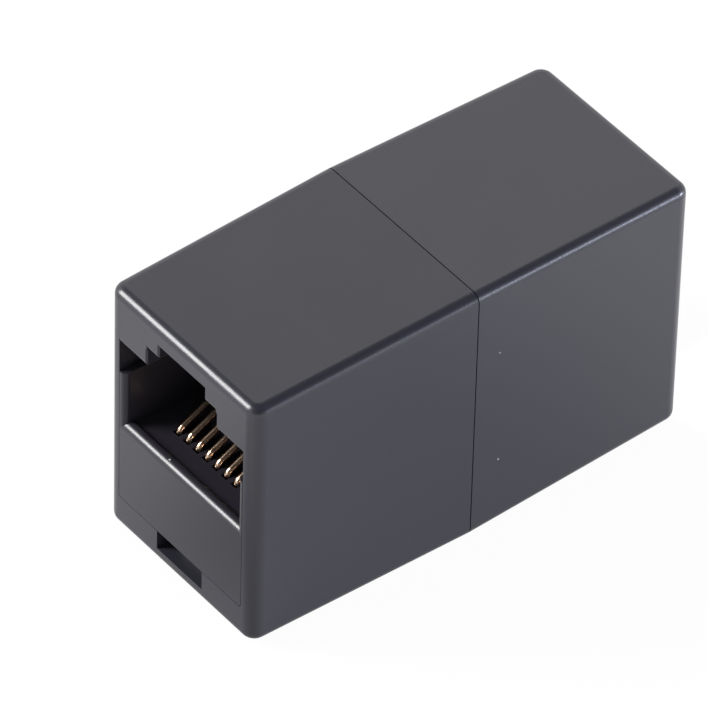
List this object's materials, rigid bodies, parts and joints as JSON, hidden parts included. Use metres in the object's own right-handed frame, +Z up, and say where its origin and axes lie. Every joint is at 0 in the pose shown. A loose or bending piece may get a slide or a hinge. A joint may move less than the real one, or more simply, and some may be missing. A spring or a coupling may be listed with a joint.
{
  "type": "rj45 inline coupler",
  "caption": "Inline coupler: a drafted two-part black shell with an eight-way modular jack socket at each end, which joins two network patch cords.",
  "frame": {"origin": "middle of the base, on the seam between the two shell halves", "axes": "+Z up towards the latch notches, Y along the two sockets with the front socket facing -Y, X across the body"},
  "size_m": [0.0158, 0.036, 0.0215],
  "materials": {
    "shell_moulding": "fine satin",
    "insert_moulding": "satin",
    "contact_wire": "gold plated, polished",
    "board_laminate": "solder mask",
    "solder": "bright solder"
  },
  "bodies": {
    "root": {"front_shell": "shell_moulding", "rear_shell": "shell_moulding", "front_insert": "insert_moulding", "rear_insert": "insert_moulding", "circuit_board": "board_laminate", "solder_joints": "solder", "front_contact_1": "contact_wire", "front_contact_2": "contact_wire", "front_contact_3": "contact_wire", "front_contact_4": "contact_wire", "front_contact_5": "contact_wire", "front_contact_6": "contact_wire", "front_contact_7": "contact_wire", "front_contact_8": "contact_wire", "rear_contact_1": "contact_wire", "rear_contact_2": "contact_wire", "rear_contact_3": "contact_wire", "rear_contact_4": "contact_wire", "rear_contact_5": "contact_wire", "rear_contact_6": "contact_wire", "rear_contact_7": "contact_wire", "rear_contact_8": "contact_wire"}
  },
  "joints": []
}
